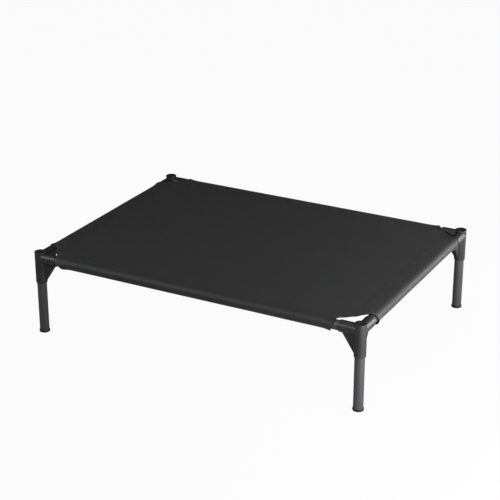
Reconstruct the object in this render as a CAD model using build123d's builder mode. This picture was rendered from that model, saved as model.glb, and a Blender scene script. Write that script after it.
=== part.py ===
from build123d import *
from math import acos, atan2, degrees, hypot
import os

# A raised dog bed: a cloth panel held taut on four rails between four moulded corners on tube legs.
# Millimetres. The origin is on the floor below the bed's centre, +X runs along the bed's length
# to its right end, -Y is its front, and +Z is up.

# Overall layout
post_spacing_x = 900.0  # from one leg's axis to the next along the bed
post_spacing_y = 652.0  # from one leg's axis to the next across the bed
bed_height = 226.0  # from the floor to the tops of the post caps
rail_height = 208.4  # from the floor to the rails' axes

# Steel tube, the same for legs and rails
tube_radius = 12.5
tube_wall = 1.2

# Moulded corner connectors
socket_radius = 14.75  # outside of the post and of both arms
sliding_gap = 0.08  # around a leg that pulls out of its socket
fixed_gap = 0.05  # around a tube or plug that stays in its socket
arm_reach = 52.0  # from the post's axis to an arm's mouth
rail_inset = 15.0  # from the post's axis to a rail's end
rim_height = 141.0  # the post's open lower end
leg_stop_height = 192.5  # the ledge inside the post that a leg's end stands against
web_thickness = 4.0
web_foot_height = 145.5  # where a web's slanted edge leaves the post
web_reach = 46.5  # where a web's slanted edge meets the arm
mouth_chamfer = 0.6

# Caps that close the posts
cap_radius = 15.2
cap_thickness = 2.6
cap_edge_fillet = 1.2
dimple_radius = 4.2
dimple_depth = 1.4
dimple_fillet = 0.6
plug_radius = 11.0
plug_wall = 1.6
plug_depth = 9.0
plug_recess_depth = 12.0

# Caps pushed into the lower ends of the legs
foot_radius = 14.0
foot_height = 5.5
foot_edge_fillet = 1.6
foot_lip_fillet = 0.8
foot_plug_wall = 1.5
foot_plug_depth = 16.0

# Cloth panel, whose four edges are sewn into sleeves round the rails
cloth_thickness = 0.9
sleeve_radius = 14.1  # outside of the sleeve over the top of a rail
slack_radius = 15.05  # outside of the sleeve where it hangs looser under a rail
seam_inset = 26.0  # from a rail's axis in to the seam that closes its sleeve
corner_cut = 60.0  # from a post's axis to a sleeve's mouth on top of the rail
mouth_slant = 17.0  # how much further in the mouth lies below the rail

post_top = bed_height - cap_thickness
half_x = post_spacing_x / 2
half_y = post_spacing_y / 2
bore_radius = tube_radius + fixed_gap
foot_plug_radius = tube_radius - tube_wall - fixed_gap
cloth_top = rail_height + sleeve_radius

corner_sides = {
    "front_left": (-1, -1),
    "front_right": (1, -1),
    "back_left": (-1, 1),
    "back_right": (1, 1),
}

os.makedirs("parts", exist_ok=True)


def save(part, name):
    part.label = name
    export_step(part, f"parts/{name}.step")


def make_corner(side_x, side_y):
    # A post with an arm towards each neighbouring corner, and a triangular web under each arm.
    post = Vector(side_x * half_x, side_y * half_y, 0)
    up = Vector(0, 0, 1)
    arms = [Vector(-side_x, 0, 0), Vector(0, -side_y, 0)]
    with BuildPart() as corner:
        with BuildSketch(Plane(post + up * rim_height)):
            Circle(socket_radius)
        extrude(amount=post_top - rim_height)
        for arm in arms:
            with BuildSketch(Plane(post + up * rail_height, z_dir=arm)):
                Circle(socket_radius)
            extrude(amount=arm_reach)
            with BuildSketch(Plane(post, x_dir=arm, z_dir=arm.cross(up))):
                with BuildLine():
                    Polyline(
                        (0, web_foot_height),
                        (socket_radius, web_foot_height),
                        (web_reach, rail_height - socket_radius),
                        (web_reach, rail_height),
                        (0, rail_height),
                        close=True,
                    )
                make_face()
            extrude(amount=web_thickness / 2, both=True)
        with BuildSketch(Plane(post + up * rim_height)):
            Circle(tube_radius + sliding_gap)
        extrude(amount=leg_stop_height - rim_height, mode=Mode.SUBTRACT)
        with BuildSketch(Plane(post + up * (post_top - plug_recess_depth))):
            Circle(plug_radius + fixed_gap)
        extrude(amount=plug_recess_depth, mode=Mode.SUBTRACT)
        for arm in arms:
            with BuildSketch(Plane(post + up * rail_height + arm * rail_inset, z_dir=arm)):
                Circle(bore_radius)
            extrude(amount=arm_reach - rail_inset, mode=Mode.SUBTRACT)
            mouth = corner.faces().sort_by(Axis((0, 0, 0), arm))[-1]
            chamfer(mouth.edges(), mouth_chamfer)
        rim = corner.faces().sort_by(Axis.Z)[0]
        chamfer(rim.edges(), mouth_chamfer)
    return corner.part


def make_post_cap(side_x, side_y):
    # A round lid with a dimple in its middle, on a hollow plug that fills the top of the post.
    base = Plane((side_x * half_x, side_y * half_y, post_top))
    with BuildPart() as cap:
        with BuildSketch(base):
            Circle(cap_radius)
        extrude(amount=cap_thickness)
        with BuildSketch(base.offset(cap_thickness)):
            Circle(dimple_radius)
        extrude(amount=-dimple_depth, mode=Mode.SUBTRACT)
        fillet(cap.edges().group_by(Axis.Z)[-1].sort_by(SortBy.LENGTH)[0], dimple_fillet)
        fillet(cap.edges().group_by(Axis.Z)[-1].sort_by(SortBy.LENGTH)[-1], cap_edge_fillet)
        with BuildSketch(base):
            Circle(plug_radius)
            Circle(plug_radius - plug_wall, mode=Mode.SUBTRACT)
        extrude(amount=-plug_depth)
    return cap.part


def make_leg_tube(side_x, side_y):
    with BuildPart() as leg:
        with BuildSketch(Plane((side_x * half_x, side_y * half_y, foot_height))):
            Circle(tube_radius)
            Circle(tube_radius - tube_wall, mode=Mode.SUBTRACT)
        extrude(amount=leg_stop_height - foot_height)
    return leg.part


def make_foot_cap(side_x, side_y):
    # A round sole under the leg's end, on a hollow plug that fills the end of the tube.
    base = Plane((side_x * half_x, side_y * half_y, 0))
    with BuildPart() as foot:
        with BuildSketch(base):
            Circle(foot_radius)
        extrude(amount=foot_height)
        fillet(foot.edges().sort_by(Axis.Z)[0], foot_edge_fillet)
        fillet(foot.edges().sort_by(Axis.Z)[-1], foot_lip_fillet)
        with BuildSketch(base.offset(foot_height)):
            Circle(foot_plug_radius)
            Circle(foot_plug_radius - foot_plug_wall, mode=Mode.SUBTRACT)
        extrude(amount=foot_plug_depth)
    return foot.part


def make_rail(middle, direction, half_spacing):
    with BuildPart() as rail:
        with BuildSketch(Plane(middle, z_dir=direction)):
            Circle(tube_radius)
            Circle(tube_radius - tube_wall, mode=Mode.SUBTRACT)
        extrude(amount=half_spacing - rail_inset, both=True)
    return rail.part


def make_sleeve(middle, inward, half_spacing):
    # The cloth goes over the rail, hangs a little loose below it and comes back up to the seam.
    up = Vector(0, 0, 1)
    along = inward.cross(up)
    slack_centre = slack_radius - sleeve_radius
    seam_under = sleeve_radius - 2 * cloth_thickness
    seam_run = seam_inset - slack_centre
    seam_distance = hypot(seam_run, seam_under)
    tangent_angle = degrees(atan2(seam_under, seam_run) - acos(slack_radius / seam_distance))
    top_length = half_spacing - corner_cut
    bottom_length = top_length - mouth_slant
    with BuildPart() as sleeve:
        with BuildSketch(Plane(middle, x_dir=inward, z_dir=along)):
            with BuildLine():
                over = Line((seam_inset, sleeve_radius), (0, sleeve_radius))
                CenterArc((0, 0), sleeve_radius, 90, 90)
                hang = CenterArc((slack_centre, 0), slack_radius, 180, 180 + tangent_angle)
                rise = Line(hang @ 1, (seam_inset, seam_under))
                Line(rise @ 1, over @ 0)
            make_face()
            offset(amount=-cloth_thickness, mode=Mode.SUBTRACT)
        extrude(amount=top_length, both=True)
        with BuildSketch(Plane(middle, x_dir=along, z_dir=along.cross(up))):
            with BuildLine():
                Polyline(
                    (-top_length, sleeve_radius),
                    (top_length, sleeve_radius),
                    (bottom_length, -slack_radius),
                    (-bottom_length, -slack_radius),
                    close=True,
                )
            make_face()
        extrude(amount=seam_inset + slack_radius, both=True, mode=Mode.INTERSECT)
    return sleeve.part


rail_layout = {
    "front": (Vector(0, -half_y, rail_height), Vector(0, 1, 0), half_x),
    "back": (Vector(0, half_y, rail_height), Vector(0, -1, 0), half_x),
    "left": (Vector(-half_x, 0, rail_height), Vector(1, 0, 0), half_y),
    "right": (Vector(half_x, 0, rail_height), Vector(-1, 0, 0), half_y),
}

for place, sides in corner_sides.items():
    save(make_corner(*sides), f"corner_{place}")
    save(make_post_cap(*sides), f"post_cap_{place}")
    save(make_leg_tube(*sides), f"leg_tube_{place}")
    save(make_foot_cap(*sides), f"foot_cap_{place}")

for place, (middle, inward, half_spacing) in rail_layout.items():
    along = inward.cross(Vector(0, 0, 1))
    save(make_rail(middle, along, half_spacing), f"rail_{place}")

# The flat of the cloth is a rectangle between the rails' axes with its corners cut off.
with BuildPart() as cloth_panel:
    with BuildSketch(Plane.XY.offset(cloth_top - cloth_thickness)):
        Rectangle(post_spacing_x, post_spacing_y)
        chamfer(vertices(), corner_cut)
    extrude(amount=cloth_thickness)
    for middle, inward, half_spacing in rail_layout.values():
        add(make_sleeve(middle, inward, half_spacing))
save(cloth_panel.part, "cloth_panel")
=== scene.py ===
# A raised dog bed: black cloth held taut on a tube frame by moulded corners, on tube legs.
import bpy
from math import acos, atan2, ceil, cos, exp, floor, hypot, pi, radians, sin
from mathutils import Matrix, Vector, noise


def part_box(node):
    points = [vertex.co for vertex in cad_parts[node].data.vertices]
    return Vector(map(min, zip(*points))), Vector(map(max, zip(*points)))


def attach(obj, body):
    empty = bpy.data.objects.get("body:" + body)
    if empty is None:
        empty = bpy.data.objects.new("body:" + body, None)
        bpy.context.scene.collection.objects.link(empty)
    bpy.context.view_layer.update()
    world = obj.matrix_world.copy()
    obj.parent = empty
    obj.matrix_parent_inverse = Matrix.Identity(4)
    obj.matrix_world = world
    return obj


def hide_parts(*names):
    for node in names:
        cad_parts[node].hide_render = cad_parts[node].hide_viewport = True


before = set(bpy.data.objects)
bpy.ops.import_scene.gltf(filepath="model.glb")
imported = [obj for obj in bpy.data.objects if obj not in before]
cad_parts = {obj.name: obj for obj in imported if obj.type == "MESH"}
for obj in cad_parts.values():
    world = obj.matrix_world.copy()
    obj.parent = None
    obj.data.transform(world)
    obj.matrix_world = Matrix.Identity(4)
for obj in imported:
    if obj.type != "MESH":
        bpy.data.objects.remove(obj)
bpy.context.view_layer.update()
small = 1e-5  # points closer than this are in the same place
print("frame loaded:", len(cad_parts), "nodes")


def selectOnly(*objects):
    if bpy.context.object and bpy.context.object.mode != "OBJECT":
        bpy.ops.object.mode_set(mode="OBJECT")
    bpy.ops.object.select_all(action="DESELECT")
    for thing in objects:
        thing.select_set(True)
    bpy.context.view_layer.objects.active = objects[0]


def selectEdges(thing, wanted):
    # Leaves edit mode on, with just the edges selected for whose two ends wanted(place) holds.
    bpy.ops.object.mode_set(mode="EDIT")
    bpy.ops.mesh.select_mode(type="EDGE")
    bpy.ops.mesh.select_all(action="DESELECT")
    bpy.ops.object.mode_set(mode="OBJECT")
    points = thing.data.vertices
    for edge in thing.data.edges:
        edge.select = all(wanted(points[end].co) for end in edge.vertices)
    bpy.ops.object.mode_set(mode="EDIT")


def everywhere(place):
    return True


def cutFaces(thing, wanted, point, normal, clear=True):
    # Cuts the wanted faces with a plane, and clears the side that the normal points to.
    bpy.ops.object.mode_set(mode="EDIT")
    bpy.ops.mesh.select_mode(type="FACE")
    bpy.ops.mesh.select_all(action="DESELECT")
    bpy.ops.object.mode_set(mode="OBJECT")
    for face in thing.data.polygons:
        face.select = wanted(face.center)
    bpy.ops.object.mode_set(mode="EDIT")
    bpy.ops.mesh.bisect(plane_co=point, plane_no=normal, clear_outer=clear)
    bpy.ops.object.mode_set(mode="OBJECT")


def applyModifier(thing, kind, **settings):
    selectOnly(thing)
    modifier = thing.modifiers.new(kind.lower(), kind)
    for key, value in settings.items():
        setattr(modifier, key, value)
    bpy.ops.object.modifier_apply(modifier=modifier.name)


def linear(hexText):
    # sRGB hex to the linear values that shaders take.
    values = [int(hexText[i:i + 2], 16) / 255 for i in (1, 3, 5)]
    return [v / 12.92 if v <= 0.04045 else ((v + 0.055) / 1.055) ** 2.4 for v in values] + [1.0]


def addNode(tree, kind, inputs, **settings):
    node = tree.nodes.new(kind)
    for key, value in settings.items():
        setattr(node, key, value)
    for key, value in inputs.items():
        if isinstance(value, bpy.types.NodeSocket):
            tree.links.new(value, node.inputs[key])
        else:
            node.inputs[key].default_value = value
    return node


def startMaterial(name):
    material = bpy.data.materials.new(name)
    material.use_nodes = True
    material.node_tree.nodes.clear()
    return material, material.node_tree


cameraPlace = {
    "azimuth": 28.15,  # degrees from the bed's front round to its right end
    "elevation": 22.8,
    "distance": 3.804,  # metres from the bed's middle
    "aimHeight": 0.135,
    "right": -0.0117,  # metres that the camera moves aside and up without turning
    "up": 0.0582,
    "lens": 103.73,
    "sensor": 36,
    "clipEnd": 60,
}


def addCamera(place):
    turn, tilt = radians(place["azimuth"]), radians(place["elevation"])
    back = Vector((sin(turn) * cos(tilt), -cos(turn) * cos(tilt), sin(tilt)))
    right = Vector((cos(turn), sin(turn), 0))
    spot = Vector((0, 0, place["aimHeight"])) + back * place["distance"]
    spot += right * place["right"] + back.cross(right) * place["up"]
    bpy.ops.object.camera_add(location=spot)
    camera = bpy.context.object
    camera.rotation_mode = "QUATERNION"
    camera.rotation_quaternion = (-back).to_track_quat("-Z", "Y")
    camera.data.lens = place["lens"]
    camera.data.sensor_width = place["sensor"]
    camera.data.clip_end = place["clipEnd"]
    bpy.context.scene.camera = camera


addCamera(cameraPlace)
print("camera placed")


plastic = {
    "dark": "#202021",
    "light": "#2c2c2e",
    "smoothest": 0.38,
    "roughest": 0.46,
    "ior": 1.49,
    "flowSize": 0.03,  # flow marks, where the melt cooled unevenly
    "grainSize": 0.0012,  # spark-eroded grain of 0.3 mm, drawn at 1.2 mm so that it shows
    "grainDepth": 0.0004,
    "grainStrength": 0.2,
}


def mouldedPolypropylene():
    # Black polypropylene from a spark-eroded mould: even black, a broad soft shine and a fine grain.
    material, tree = startMaterial("mouldedPolypropylene")
    place = addNode(tree, "ShaderNodeTexCoord", {}).outputs["Object"]
    flowMarks = {"Vector": place, "Scale": 1 / plastic["flowSize"], "Detail": 4.0}
    flow = addNode(tree, "ShaderNodeTexNoise", flowMarks).outputs["Fac"]
    grains = {"Vector": place, "Scale": 1 / plastic["grainSize"], "Detail": 2.0}
    grain = addNode(tree, "ShaderNodeTexNoise", grains).outputs["Fac"]
    colours = {"Factor": flow, 6: linear(plastic["dark"]), 7: linear(plastic["light"])}
    colour = addNode(tree, "ShaderNodeMix", colours, data_type="RGBA").outputs[2]
    shines = {"Value": flow, "To Min": plastic["smoothest"], "To Max": plastic["roughest"]}
    shine = addNode(tree, "ShaderNodeMapRange", shines).outputs["Result"]
    bumps = {"Height": grain, "Strength": plastic["grainStrength"], "Distance": plastic["grainDepth"]}
    bump = addNode(tree, "ShaderNodeBump", bumps).outputs["Normal"]
    surface = {"Base Color": colour, "Roughness": shine, "Normal": bump, "IOR": plastic["ior"]}
    shader = addNode(tree, "ShaderNodeBsdfPrincipled", surface).outputs["BSDF"]
    addNode(tree, "ShaderNodeOutputMaterial", {"Surface": shader})
    return material


coating = {
    "dark": "#373739",
    "light": "#444446",
    "smoothest": 0.40,
    "roughest": 0.48,
    "ior": 1.55,
    "filmSize": 0.05,  # patches of thicker and thinner film
    "peelSize": 0.0025,  # orange peel, from crest to crest
    "peelDepth": 0.0003,
    "peelStrength": 0.1,
}


def powderCoatedSteel():
    # Steel tube, powder coated satin black and stoved: smoother than the plastic, with an orange peel.
    material, tree = startMaterial("powderCoatedSteel")
    place = addNode(tree, "ShaderNodeTexCoord", {}).outputs["Object"]
    patches = {"Vector": place, "Scale": 1 / coating["filmSize"], "Detail": 3.0}
    film = addNode(tree, "ShaderNodeTexNoise", patches).outputs["Fac"]
    crests = {"Vector": place, "Scale": 1 / coating["peelSize"], "Detail": 1.0}
    peel = addNode(tree, "ShaderNodeTexNoise", crests).outputs["Fac"]
    colours = {"Factor": film, 6: linear(coating["dark"]), 7: linear(coating["light"])}
    colour = addNode(tree, "ShaderNodeMix", colours, data_type="RGBA").outputs[2]
    shines = {"Value": film, "To Min": coating["smoothest"], "To Max": coating["roughest"]}
    shine = addNode(tree, "ShaderNodeMapRange", shines).outputs["Result"]
    bumps = {"Height": peel, "Strength": coating["peelStrength"], "Distance": coating["peelDepth"]}
    bump = addNode(tree, "ShaderNodeBump", bumps).outputs["Normal"]
    surface = {"Base Color": colour, "Roughness": shine, "Normal": bump, "IOR": coating["ior"]}
    shader = addNode(tree, "ShaderNodeBsdfPrincipled", surface).outputs["BSDF"]
    addNode(tree, "ShaderNodeOutputMaterial", {"Surface": shader})
    return material


feet = {
    "dark": "#080808",
    "light": "#121213",
    "smoothest": 0.5,
    "roughest": 0.65,
    "ior": 1.51,
    "scuffSize": 0.005,  # the largest scuffs
    "scuffDepth": 0.0003,
    "scuffStrength": 0.12,
}


def mouldedPolyethylene():
    # Black low-density polyethylene feet: waxy, a little scuffed where they stand.
    material, tree = startMaterial("mouldedPolyethylene")
    place = addNode(tree, "ShaderNodeTexCoord", {}).outputs["Object"]
    marks = {"Vector": place, "Scale": 1 / feet["scuffSize"], "Detail": 5.0}
    scuffs = addNode(tree, "ShaderNodeTexNoise", marks).outputs["Fac"]
    colours = {"Factor": scuffs, 6: linear(feet["dark"]), 7: linear(feet["light"])}
    colour = addNode(tree, "ShaderNodeMix", colours, data_type="RGBA").outputs[2]
    shines = {"Value": scuffs, "To Min": feet["smoothest"], "To Max": feet["roughest"]}
    shine = addNode(tree, "ShaderNodeMapRange", shines).outputs["Result"]
    bumps = {"Height": scuffs, "Strength": feet["scuffStrength"], "Distance": feet["scuffDepth"]}
    bump = addNode(tree, "ShaderNodeBump", bumps).outputs["Normal"]
    surface = {"Base Color": colour, "Roughness": shine, "Normal": bump, "IOR": feet["ior"]}
    shader = addNode(tree, "ShaderNodeBsdfPrincipled", surface).outputs["BSDF"]
    addNode(tree, "ShaderNodeOutputMaterial", {"Surface": shader})
    return material


weave = {
    "dark": "#1c1c1d",
    "light": "#262728",
    "smoothest": 0.55,
    "roughest": 0.7,
    "ior": 1.5,
    "sheen": 0.08,
    "sheenRoughness": 0.4,
    "threadSpacing": 0.0016,  # 0.5 mm threads, drawn at 1.6 mm so that they show
    "threadDepth": 0.0003,
    "threadStrength": 0.3,
    "dyeSize": 0.05,  # patches of uneven dye
    "fleckSize": 0.002,  # single threads that took the dye differently
    "waveLength": 0.314,  # what a wave texture of scale 1 repeats at
}


def wovenPolyester():
    # Black plain-woven polyester with a coated back: matt, with a faint sheen along the threads.
    material, tree = startMaterial("wovenPolyester")
    flat = addNode(tree, "ShaderNodeUVMap", {}, uv_map="flatCut").outputs["UV"]
    patches = {"Vector": flat, "Scale": 1 / weave["dyeSize"], "Detail": 4.0}
    dye = addNode(tree, "ShaderNodeTexNoise", patches).outputs["Fac"]
    specks = {"Vector": flat, "Scale": 1 / weave["fleckSize"], "Detail": 2.0}
    flecks = addNode(tree, "ShaderNodeTexNoise", specks).outputs["Fac"]
    tones = {"Factor": 0.5, 2: dye, 3: flecks}
    tone = addNode(tree, "ShaderNodeMix", tones, data_type="FLOAT").outputs[0]
    bands = {"Vector": flat, "Scale": weave["waveLength"] / weave["threadSpacing"]}
    warp = addNode(tree, "ShaderNodeTexWave", bands, bands_direction="X").outputs["Fac"]
    weft = addNode(tree, "ShaderNodeTexWave", bands, bands_direction="Y").outputs["Fac"]
    squares = {"Vector": flat, "Scale": 1 / weave["threadSpacing"]}
    over = addNode(tree, "ShaderNodeTexChecker", squares).outputs["Fac"]
    crossing = {"Factor": over, 2: warp, 3: weft}
    threads = addNode(tree, "ShaderNodeMix", crossing, data_type="FLOAT").outputs[0]
    colours = {"Factor": tone, 6: linear(weave["dark"]), 7: linear(weave["light"])}
    colour = addNode(tree, "ShaderNodeMix", colours, data_type="RGBA").outputs[2]
    shines = {"Value": tone, "To Min": weave["smoothest"], "To Max": weave["roughest"]}
    shine = addNode(tree, "ShaderNodeMapRange", shines).outputs["Result"]
    bumps = {"Height": threads, "Strength": weave["threadStrength"], "Distance": weave["threadDepth"]}
    bump = addNode(tree, "ShaderNodeBump", bumps).outputs["Normal"]
    surface = {"Base Color": colour, "Roughness": shine, "Normal": bump, "IOR": weave["ior"]}
    surface.update({"Sheen Weight": weave["sheen"], "Sheen Roughness": weave["sheenRoughness"]})
    shader = addNode(tree, "ShaderNodeBsdfPrincipled", surface).outputs["BSDF"]
    addNode(tree, "ShaderNodeOutputMaterial", {"Surface": shader})
    return material


thread = {
    "dark": "#1b1b1c",
    "light": "#303032",
    "smoothest": 0.42,
    "roughest": 0.55,
    "ior": 1.5,
    "twistSize": 0.0006,  # the twist of the plies
    "twistDepth": 0.0002,
    "twistStrength": 0.3,
}


def spunThread():
    # Bonded polyester sewing thread: black, twisted, a little shinier than the cloth it sinks into.
    material, tree = startMaterial("spunThread")
    place = addNode(tree, "ShaderNodeTexCoord", {}).outputs["Object"]
    twists = {"Vector": place, "Scale": 1 / thread["twistSize"], "Detail": 1.0}
    plies = addNode(tree, "ShaderNodeTexNoise", twists).outputs["Fac"]
    colours = {"Factor": plies, 6: linear(thread["dark"]), 7: linear(thread["light"])}
    colour = addNode(tree, "ShaderNodeMix", colours, data_type="RGBA").outputs[2]
    shines = {"Value": plies, "To Min": thread["smoothest"], "To Max": thread["roughest"]}
    shine = addNode(tree, "ShaderNodeMapRange", shines).outputs["Result"]
    bumps = {"Height": plies, "Strength": thread["twistStrength"], "Distance": thread["twistDepth"]}
    bump = addNode(tree, "ShaderNodeBump", bumps).outputs["Normal"]
    surface = {"Base Color": colour, "Roughness": shine, "Normal": bump, "IOR": thread["ior"]}
    shader = addNode(tree, "ShaderNodeBsdfPrincipled", surface).outputs["BSDF"]
    addNode(tree, "ShaderNodeOutputMaterial", {"Surface": shader})
    return material


cornerPlastic, tubeCoating, footPlastic = mouldedPolypropylene(), powderCoatedSteel(), mouldedPolyethylene()
finishes = {  # by how a CAD node's name starts
    "corner": cornerPlastic,
    "post_cap": cornerPlastic,
    "leg_tube": tubeCoating,
    "rail": tubeCoating,
    "foot_cap": footPlastic,
}
for name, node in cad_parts.items():
    for part, material in finishes.items():
        if name.startswith(part):
            node.data.materials.clear()
            node.data.materials.append(material)
print("frame finished")

railFront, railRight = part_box("rail_front"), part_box("rail_right")
railHeight = (railFront[0].z + railFront[1].z) / 2
halfLength = (railRight[0].x + railRight[1].x) / 2
halfWidth = -(railFront[0].y + railFront[1].y) / 2
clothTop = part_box("cloth_panel")[1].z

# Lengths in metres. The flat cut is the cloth laid out before it is rolled round the rails.
cloth = {
    "thickness": 0.0009,
    "cell": 0.007,  # size of the panel's mesh
    "rollStep": 0.003,  # size of the mesh round the rails
    "creaseAngle": 50,  # degrees, below which the mesh is shaded smooth
    # sleeves
    "hangRadius": 0.01505,  # outside of the sleeve under a rail, where it hangs looser
    "seamInset": 0.026,  # from a rail's axis in to the seam
    "seamAllowance": 0.010,  # cloth past the seam, sewn down flat
    "seamLayers": 2.1,  # thicknesses from the panel's top to the sewn-down cloth's underside
    "cornerCut": 0.060,  # from a post's axis to the mouth of a sleeve, on top of the rail
    "mouthSlope": 0.36,  # how fast a mouth slants away from the corner
    "mouthFlare": 0.0030,  # how far a sleeve stands open at its mouth
    "flareShare": 0.6,  # how much of that shows on top of the rail
    "flareLength": 0.030,
    "flareReach": 0.024,  # how far in from the rail the panel rises with it
    "slackHeight": 0.0004,  # how far the loose underside of a sleeve waves in and out
    "slackWaves": 9,  # about how often in a metre
    "slackApart": 4,  # how far apart in the noise the rails along X and along Y read
    "slipLeft": 0.008,  # how far the top of the front sleeve has slid to the left, at its left end
    "slipRight": 0.002,  # and at its right end
    "slipSpan": 0.3,  # from the middle, where one turns into the other
    "slipReach": 0.06,  # how far in from the front rail the panel slides with it
    # stitched lines: rows and doubled edges, from where they start to swell to where they are full
    "seamRows": (0.0275, 0.0335),  # in from a rail's axis
    "seamStart": (0.025, 0.0272),
    "seamEnd": (0.0358, 0.038),  # and back down to flat
    "seamSwell": 0.0002,
    "hemWidth": 0.010,
    "hemLayers": 2.05,  # thicknesses through a folded hem
    "hemClear": 0.004,  # from the rails' axes to the ends of the hem on a slanted edge
    "hemSwell": 0.0003,  # how far a doubled edge stands proud
    "mouthRow": 0.007,  # in from a sleeve's mouth
    "mouthHem": (0.010, 0.0085),
    "cutRow": 0.008,  # in from a slanted edge
    "cutHem": (0.012, 0.0095),
    "stitchDent": 0.00028,
    "dentWidth": 0.0011,
    # puckers along the seams, and the longer ones along the slanted edges
    "puckerHeight": 0.00016,
    "puckerLength": 0.027,
    "puckerSpread": 0.012,
    "puckerWander": 5,  # how unevenly they are spaced
    "wanderWaves": (6, 3),  # about how often in a metre that changes, along and across the seam
    "wanderSlice": 0.5,  # the slice of the noise that it is read from
    "cutPuckerHeight": 0.00032,
    "cutPuckerLength": 0.037,
    "cutPuckerSpread": 0.025,
    "cutPuckerStart": 1.3,
    # extra lines in the mesh where it bends, in from a rail's axis, a slanted edge and a mouth
    "rowScores": (-0.0016, -0.0008, 0, 0.0008, 0.0016),  # to both sides of a row of stitches
    "seamScores": (0.0365, 0.038),
    "cutScores": (0.002, 0.0068, 0.008, 0.0092, 0.0105, 0.012, 0.018),
    "mouthScores": (0, 0.0055, 0.007, 0.0085, 0.010),
}

# The way of the cloth's edge: over a rail, down round it, and up below the panel to the seam.
over, hang, inset = clothTop - railHeight, cloth["hangRadius"], cloth["seamInset"]
slack = hang - over
under = over - cloth["seamLayers"] * cloth["thickness"]
hangTurn = pi + atan2(under, inset - slack) - acos(hang / hypot(inset - slack, under))
overLength, hangLength = over * pi / 2, hang * hangTurn
leaveOut, leaveUp = -slack + hang * cos(hangTurn), -hang * sin(hangTurn)
riseLength = hypot(leaveOut + inset, leaveUp - under)
flapLength = overLength + hangLength + riseLength + cloth["seamAllowance"]
# For the rails along X and the rails along Y: the axis across them, their distance, half their span.
railSides = ((1, halfWidth, halfLength), (0, halfLength, halfWidth))


def rolled(distance, lift):
    # Outwards and up from a rail's axis, for a point that far along the cloth past the rail's top.
    if distance <= overLength:
        turn = distance / over
        return (over + lift) * sin(turn), (over + lift) * cos(turn)
    distance -= overLength
    if distance <= hangLength:
        turn = distance / hang
        return -slack + (hang + lift) * cos(turn), -(hang + lift) * sin(turn)
    distance -= hangLength
    if distance <= riseLength:
        share = distance / riseLength
        outwards = leaveOut + share * (-inset - leaveOut) + lift * cos(hangTurn)
        return outwards, leaveUp + share * (under - leaveUp) - lift * sin(hangTurn)
    return -inset - (distance - riseLength), under - lift


def mouthAt(distance, halfSpan):
    # Half the length of a sleeve, that far past the top of its rail.
    return halfSpan - cloth["cornerCut"] - cloth["mouthSlope"] * distance


def flareAt(fromMouth):
    return cloth["mouthFlare"] * max(0, 1 - fromMouth / cloth["flareLength"]) ** 2


def rollPoint(place):
    # Carries a point of the flat cut round the rail that it lies beyond. Each rail has its own waves.
    onTop = cloth["flareShare"]
    for across, edge, halfSpan in railSides:
        distance, along = abs(place[across]) - edge, place[1 - across]
        if distance <= 0:
            continue
        share = min(distance / (overLength + hangLength), 1)
        slackness = sin(share * pi)
        lift = place.z - clothTop
        fromMouth = mouthAt(distance, halfSpan) - abs(along)
        lift += flareAt(fromMouth) * (onTop + (1 - onTop) * slackness - onTop * share ** 3)
        waves = noise.noise((cloth["slackWaves"] * along, cloth["slackApart"] * across, edge * place[across]))
        lift += cloth["slackHeight"] * slackness ** 2 * waves
        outwards, up = rolled(distance, lift)
        place[across] = (edge + outwards) * (1 if place[across] > 0 else -1)
        place.z = railHeight + up


def ease(value, start, end):
    # Rises smoothly from 0 at start to 1 at end.
    share = min(max((value - start) / (end - start), 0), 1)
    return share * share * (3 - 2 * share)


def dent(distance, row):
    return cloth["stitchDent"] * exp(-((distance - row) / cloth["dentWidth"]) ** 2)


def surfaceLift(place):
    # How far the flat cut stands proud of its plane: doubled edges, dents under stitches, puckers.
    lift = 0
    for across, edge, halfSpan in railSides:
        inside, along = edge - abs(place[across]), place[1 - across]
        if inside < 0:
            fromMouth = mouthAt(-inside, halfSpan) - abs(along)
            doubled = ease(fromMouth, *cloth["mouthHem"])
            return cloth["hemSwell"] * doubled - dent(fromMouth, cloth["mouthRow"])
        doubled = ease(inside, *cloth["seamStart"]) - ease(inside, *cloth["seamEnd"])
        lift += cloth["seamSwell"] * doubled
        lift -= sum(dent(inside, row) for row in cloth["seamRows"])
        wavesAlong, wavesAcross = cloth["wanderWaves"]
        pull = noise.noise((wavesAlong * along, wavesAcross * inside, cloth["wanderSlice"]))
        wave = sin(2 * pi * along / cloth["puckerLength"] + cloth["puckerWander"] * pull)
        lift += cloth["puckerHeight"] * wave * exp(-((inside - inset) / cloth["puckerSpread"]) ** 2)
        flare = flareAt(mouthAt(0, halfSpan) - abs(along))
        lift += cloth["flareShare"] * flare * ease(inside, cloth["flareReach"], 0)
    fromCut = (halfLength + halfWidth - cloth["cornerCut"] - abs(place.x) - abs(place.y)) / 2 ** 0.5
    lift += cloth["hemSwell"] * ease(fromCut, *cloth["cutHem"]) - dent(fromCut, cloth["cutRow"])
    along = abs(place.x) - abs(place.y)
    wave = sin(2 * pi * along / cloth["cutPuckerLength"] + cloth["cutPuckerStart"])
    return lift + cloth["cutPuckerHeight"] * wave * exp(-fromCut / cloth["cutPuckerSpread"])


# The ends of the slanted edge, on the axes of the back rail and of the right one, and the way it faces.
cutAtBack = Vector((halfLength - cloth["cornerCut"], halfWidth, clothTop))
cutAtRight = Vector((halfLength, halfWidth - cloth["cornerCut"], clothTop))
slant = Vector((1, 1, 0)).normalized()


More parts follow.
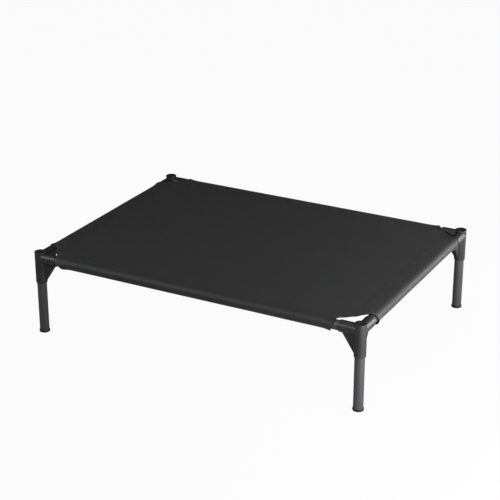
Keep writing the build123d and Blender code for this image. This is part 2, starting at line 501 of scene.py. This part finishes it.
def cutPanel(name, cell):
    # A quarter of the panel between the rails, with its corner cut off.
    columns, rows = ceil(halfLength / cell), ceil(halfWidth / cell)
    bpy.ops.object.select_all(action="DESELECT")
    middle = (halfLength / 2, halfWidth / 2, clothTop)
    bpy.ops.mesh.primitive_grid_add(x_subdivisions=columns, y_subdivisions=rows, size=1, location=middle)
    panel = bpy.context.object
    panel.name = name
    panel.scale = (halfLength, halfWidth, 1)
    bpy.ops.object.transform_apply(location=True, rotation=True, scale=True)
    cutFaces(panel, everywhere, cutAtBack, Vector((1, 1, 0)))
    return panel


def scoreLines(panel):
    # Extra lines along the seams and along the slanted edge.
    rows = [row + step for row in cloth["seamRows"] for step in cloth["rowScores"]]
    for line in [cloth["seamStart"][0], *rows, *cloth["seamScores"]]:
        cutFaces(panel, everywhere, Vector((0, halfWidth - line, clothTop)), Vector((0, 1, 0)), clear=False)
        cutFaces(panel, everywhere, Vector((halfLength - line, 0, clothTop)), Vector((1, 0, 0)), clear=False)
    for line in cloth["cutScores"]:
        cutFaces(panel, everywhere, cutAtBack - slant * line, slant, clear=False)


def foldHem(panel):
    # The slanted edge folds round and lies back under the panel, clear of the rails.
    cutLine, clear = cutAtBack.x + cutAtBack.y, cloth["hemClear"]

    def onHem(at):
        return abs(at.x + at.y - cutLine) < small and at.y < halfWidth - clear and at.x < halfLength - clear

    selectEdges(panel, onHem)
    deep = cloth["hemLayers"] * cloth["thickness"]
    for outwards, down in ((0.25, 0.25), (0.1, 0.25), (-0.1, 0.25), (-0.25, 0.25)):  # a half turn
        move = slant * outwards * deep - Vector((0, 0, down * deep))
        bpy.ops.mesh.extrude_region_move(TRANSFORM_OT_translate={"value": move})
    for _ in range(2):
        bpy.ops.mesh.extrude_region_move(TRANSFORM_OT_translate={"value": -slant * cloth["hemWidth"] / 2})
    bpy.ops.object.mode_set(mode="OBJECT")


def drawOutFlaps(panel):
    # The flaps that will go round the rails, with their slanting mouths.
    steps = ceil(flapLength / cloth["rollStep"])
    for axis, edge in ((1, halfWidth), (0, halfLength)):
        move = Vector((0, 0, 0))
        move[axis] = flapLength / steps
        selectEdges(panel, lambda at: abs(at[axis] - edge) < small)
        for _ in range(steps):
            bpy.ops.mesh.extrude_region_move(TRANSFORM_OT_translate={"value": move})
        bpy.ops.object.mode_set(mode="OBJECT")
    mouthBack, mouthRight = Vector((1, cloth["mouthSlope"], 0)), Vector((cloth["mouthSlope"], 1, 0))
    for line in cloth["mouthScores"]:
        inwards = Vector((line, 0, 0))
        cutFaces(panel, lambda at: at.y > halfWidth, cutAtBack - inwards, mouthBack, clear=line == 0)
        cutFaces(panel, lambda at: at.x > halfLength, cutAtRight - inwards.yxz, mouthRight, clear=line == 0)


def cutCloth():
    panel = cutPanel("sling_cloth", cloth["cell"])
    scoreLines(panel)
    foldHem(panel)
    drawOutFlaps(panel)
    applyModifier(panel, "MIRROR", use_axis=(True, True, False), merge_threshold=small)
    return panel


def storeFlatCut(panel):
    # The flat cut is the cloth's UV map, in metres, so that the weave follows the cloth round the rails.
    layer = panel.data.uv_layers[0]
    layer.name = "flatCut"
    for loop in panel.data.loops:
        layer.data[loop.index].uv = panel.data.vertices[loop.vertex_index].co.xy
    return sum(face.area for face in panel.data.polygons)


stitch = {
    "length": 0.0035,
    "width": 0.0009,  # 0.5 mm thread, drawn thicker so that it shows
    "flatness": 0.8,  # height to width
    "sag": 0.5,  # how far its ends go down into the cloth, in widths
    "sunk": 0.1,  # how far its middle does
    "pitch": 0.0043,
    "endGap": 0.004,  # from a slanted edge to the end of a seam's rows
    "hemGap": 0.006,  # from the rails' axes to the ends of a slanted edge's row
    "mouthReach": 0.75,  # how far a mouth's row goes round below the rail
}


def modelStitch():
    # One stitch, sunk at both ends, lying along X.
    bpy.ops.object.select_all(action="DESELECT")
    bpy.ops.mesh.primitive_uv_sphere_add(segments=6, ring_count=4, radius=0.5, rotation=(0, pi / 2, 0))
    one = bpy.context.object
    one.scale = (stitch["width"] * stitch["flatness"], stitch["width"], stitch["length"])
    bpy.ops.object.transform_apply(location=True, rotation=True, scale=True)
    for point in one.data.vertices:
        point.co.z -= stitch["sag"] * stitch["width"] * (2 * point.co.x / stitch["length"]) ** 2
    return one


def sewRow(one, start, end, facing=1):
    # Copies of the stitch from start to end, spread evenly, facing up (1) or down (-1).
    line = end - start
    count = floor(line.length / stitch["pitch"])
    row = one.copy()
    row.data = one.data.copy()
    bpy.context.collection.objects.link(row)
    pitch = line.length / count
    settings = {"use_relative_offset": False, "use_constant_offset": True}
    applyModifier(row, "ARRAY", count=count, constant_offset_displace=(pitch, 0, 0), **settings)
    row.location = start + line.normalized() * pitch / 2
    row.rotation_euler = (0 if facing > 0 else pi, 0, atan2(line.y, line.x))
    bpy.ops.object.transform_apply(location=True, rotation=True, scale=True)
    return row


def sewSeams():
    # Two rows along each sleeve and one along each hem, above and below, and one round each mouth.
    one = modelStitch()
    rows = []
    cut = cloth["cornerCut"]
    sunk = stitch["sunk"] * stitch["width"]
    for height, facing in ((clothTop - sunk, 1), (railHeight + under + sunk, -1)):
        for line in cloth["seamRows"]:
            reachX, reachY = (half - cut + line - stitch["endGap"] for half in (halfLength, halfWidth))
            for side in (-1, 1):
                y, x = side * (halfWidth - line), side * (halfLength - line)
                rows.append(sewRow(one, Vector((-reachX, y, height)), Vector((reachX, y, height)), facing))
                rows.append(sewRow(one, Vector((x, -reachY, height)), Vector((x, reachY, height)), facing))
        back, gap = cloth["cutRow"] * 2 ** 0.5, stitch["hemGap"]
        for sideX in (-1, 1):
            for sideY in (-1, 1):
                start = Vector((sideX * (halfLength - cut - back + gap), sideY * (halfWidth - gap), height))
                end = Vector((sideX * (halfLength - gap), sideY * (halfWidth - cut - back + gap), height))
                rows.append(sewRow(one, start, end, facing))
    far = overLength + stitch["mouthReach"] * hangLength
    height = clothTop - sunk
    mouthX, mouthY = (mouthAt(0, half) - cloth["mouthRow"] for half in (halfLength, halfWidth))
    farX, farY = (mouthAt(far, half) - cloth["mouthRow"] for half in (halfLength, halfWidth))
    for sideX in (-1, 1):
        for sideY in (-1, 1):
            turned = Vector((sideX, sideY, 1))
            start, end = Vector((mouthX, halfWidth, height)), Vector((farX, halfWidth + far, height))
            rows.append(sewRow(one, start * turned, end * turned))
            start, end = Vector((halfLength, mouthY, height)), Vector((halfLength + far, farY, height))
            rows.append(sewRow(one, start * turned, end * turned))
    bpy.data.objects.remove(one)
    selectOnly(*rows)
    bpy.ops.object.join()
    seams = bpy.context.object
    seams.name = "seam_stitches"
    return seams


tension = {
    "cell": 0.014,  # size of the cage's mesh
    "shrink": 0.03,  # how much smaller the cloth is cut than the frame it is pulled over
    "weight": 0.42,  # kg per square metre
    "stretch": 40,  # stiffness along the threads, across the bias and in bending
    "shear": 12,
    "bending": 0.5,
    "quality": 10,
    "frames": 24,
}


def makeCage():
    # The bare panel, coarsely meshed and held by the rails. Once it is pulled tight, the cloth follows it.
    cage = cutPanel("tension_cage", tension["cell"])
    applyModifier(cage, "MIRROR", use_axis=(True, True, False), merge_threshold=small)
    held = [
        point.index for point in cage.data.vertices
        if abs(abs(point.co.x) - halfLength) < small or abs(abs(point.co.y) - halfWidth) < small
    ]
    cage.vertex_groups.new(name="heldByRails").add(held, 1.0, "REPLACE")
    return cage


def bindTo(cage, thing):
    # Only what lies between the rails follows the cage.
    free = [
        point.index for point in thing.data.vertices
        if abs(point.co.x) < halfLength - small and abs(point.co.y) < halfWidth - small
    ]
    thing.vertex_groups.new(name="betweenRails").add(free, 1.0, "REPLACE")
    selectOnly(thing)
    modifier = thing.modifiers.new("follow", "SURFACE_DEFORM")
    modifier.target = cage
    modifier.vertex_group = "betweenRails"
    bpy.ops.object.surfacedeform_bind(modifier="follow")
    print(thing.name, "bound to the cage:", modifier.is_bound)


def pullTight(cage):
    selectOnly(cage)
    modifier = cage.modifiers.new("tension", "CLOTH")
    facts = modifier.settings
    facts.quality = tension["quality"]
    facts.mass = tension["weight"] * 4 * halfLength * halfWidth / len(cage.data.vertices)
    facts.tension_stiffness = facts.compression_stiffness = tension["stretch"]
    facts.shear_stiffness = tension["shear"]
    facts.bending_stiffness = tension["bending"]
    facts.shrink_min = tension["shrink"]
    facts.vertex_group_mass = "heldByRails"
    modifier.collision_settings.use_collision = False
    modifier.point_cache.frame_start, modifier.point_cache.frame_end = 1, tension["frames"]
    for step in range(1, tension["frames"] + 1):
        bpy.context.scene.frame_set(step)
    bpy.ops.object.modifier_apply(modifier="tension")
    bpy.context.scene.frame_set(1)
    cutMiddle = (cutAtBack + cutAtRight) / 2
    nearMiddle = [point.co for point in cage.data.vertices if abs(point.co.x - cutMiddle.x) < tension["cell"]]
    drawnIn = min((cutMiddle - place).dot(slant) for place in nearMiddle)
    print("panel pulled tight, cut edge drawn in", round(1000 * drawnIn, 2), "mm")


slingCloth = cutCloth()
flatArea = storeFlatCut(slingCloth)
print("cloth cut, flat area", round(flatArea, 3))
seamStitches = sewSeams()
print("stitches sewn:", len(seamStitches.data.polygons), "faces")

for thing in (slingCloth, seamStitches):
    for point in thing.data.vertices:
        point.co.z += surfaceLift(point.co)

cage = makeCage()
bindTo(cage, slingCloth)
bindTo(cage, seamStitches)
pullTight(cage)
for thing in (slingCloth, seamStitches):
    selectOnly(thing)
    bpy.ops.object.modifier_apply(modifier="follow")
bpy.data.objects.remove(cage)

for thing in (slingCloth, seamStitches):
    for point in thing.data.vertices:
        leftwards = ease(point.co.x, cloth["slipSpan"], -cloth["slipSpan"])
        slip = cloth["slipRight"] + (cloth["slipLeft"] - cloth["slipRight"]) * leftwards
        forward = -point.co.y - halfWidth
        slip *= ease(forward, -cloth["slipReach"], 0) * ease(forward, overLength + hangLength / 2, 0)
        point.co.x -= slip
        rollPoint(point.co)

applyModifier(slingCloth, "SOLIDIFY", thickness=cloth["thickness"], offset=-1)
for thing, material in ((slingCloth, wovenPolyester()), (seamStitches, spunThread())):
    selectOnly(thing)
    bpy.ops.object.shade_smooth_by_angle(angle=radians(cloth["creaseAngle"]))
    thing.vertex_groups.clear()
    thing.data.materials.clear()
    thing.data.materials.append(material)
    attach(thing, "deck")
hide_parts("cloth_panel")
print("cloth made:", len(slingCloth.data.polygons), "faces")


studio = {
    "floorSize": 40.0,
    "floorGlow": 0.96,  # share of the floor's white that doesn't depend on the light
    "white": "#ffffff",
    "paper": "#9c9c9a",
    "surround": "#28282a",
    "aim": (0, 0, 0.2),  # what the lights point at
    # name: (place, size, watts). The low ones stand close by on the right, so that side is bright.
    "lights": {
        "lowSideSoftbox": ((1.15, -0.3, 0.30), (0.6, 0.45), 9.0),
        "lowFrontSoftbox": ((1.0, -0.75, 0.25), (0.5, 0.4), 4.5),
        "lowBackSoftbox": ((1.0, 0.7, 0.3), (0.6, 0.45), 8.5),
        "overheadSoftbox": ((0.2, 0, 2.6), (1.2, 1.2), 13.0),
        "frontStrip": ((-0.88, -1.59, 1.3), (2.0, 0.25), 22.0),
    },
}


def addFloor():
    # White paper that stays white to the eye and takes the bed's shadow in reflections.
    bpy.ops.object.select_all(action="DESELECT")
    bpy.ops.mesh.primitive_plane_add(size=studio["floorSize"], location=(0, 0, 0))
    floorPaper = bpy.context.object
    floorPaper.name = "studio_floor"
    material, tree = startMaterial("whitePaper")
    glow = addNode(tree, "ShaderNodeEmission", {"Color": linear(studio["white"])}).outputs[0]
    paper = addNode(tree, "ShaderNodeBsdfDiffuse", {"Color": linear(studio["paper"])}).outputs[0]
    seen = addNode(tree, "ShaderNodeLightPath", {}).outputs["Is Camera Ray"]
    shares = {0: seen, 1: studio["floorGlow"]}
    share = addNode(tree, "ShaderNodeMath", shares, operation="MULTIPLY").outputs[0]
    mixed = addNode(tree, "ShaderNodeMixShader", {0: share, 1: paper, 2: glow}).outputs[0]
    addNode(tree, "ShaderNodeOutputMaterial", {"Surface": mixed})
    floorPaper.data.materials.append(material)


def addSoftbox(name, spot, size, watts):
    bpy.ops.object.light_add(type="AREA", location=spot)
    light = bpy.context.object
    light.name = name
    light.data.shape = "RECTANGLE"
    light.data.size, light.data.size_y = size
    light.data.energy = watts
    light.visible_camera = False
    light.rotation_mode = "QUATERNION"
    light.rotation_quaternion = (Vector(studio["aim"]) - Vector(spot)).to_track_quat("-Z", "Y")


def addSurround():
    # The room is dark to the bed and white to the eye.
    world = bpy.data.worlds.new("studioSurround")
    bpy.context.scene.world = world
    world.use_nodes = True
    tree = world.node_tree
    tree.nodes.clear()
    dim = addNode(tree, "ShaderNodeBackground", {"Color": linear(studio["surround"])}).outputs[0]
    white = addNode(tree, "ShaderNodeBackground", {"Color": linear(studio["white"])}).outputs[0]
    seen = addNode(tree, "ShaderNodeLightPath", {}).outputs["Is Camera Ray"]
    mixed = addNode(tree, "ShaderNodeMixShader", {0: seen, 1: dim, 2: white}).outputs[0]
    addNode(tree, "ShaderNodeOutputWorld", {"Surface": mixed})


addFloor()
addSurround()
for name, (spot, size, watts) in studio["lights"].items():
    addSoftbox(name, spot, size, watts)
bpy.context.scene.view_settings.view_transform = "Standard"
print("studio lit")
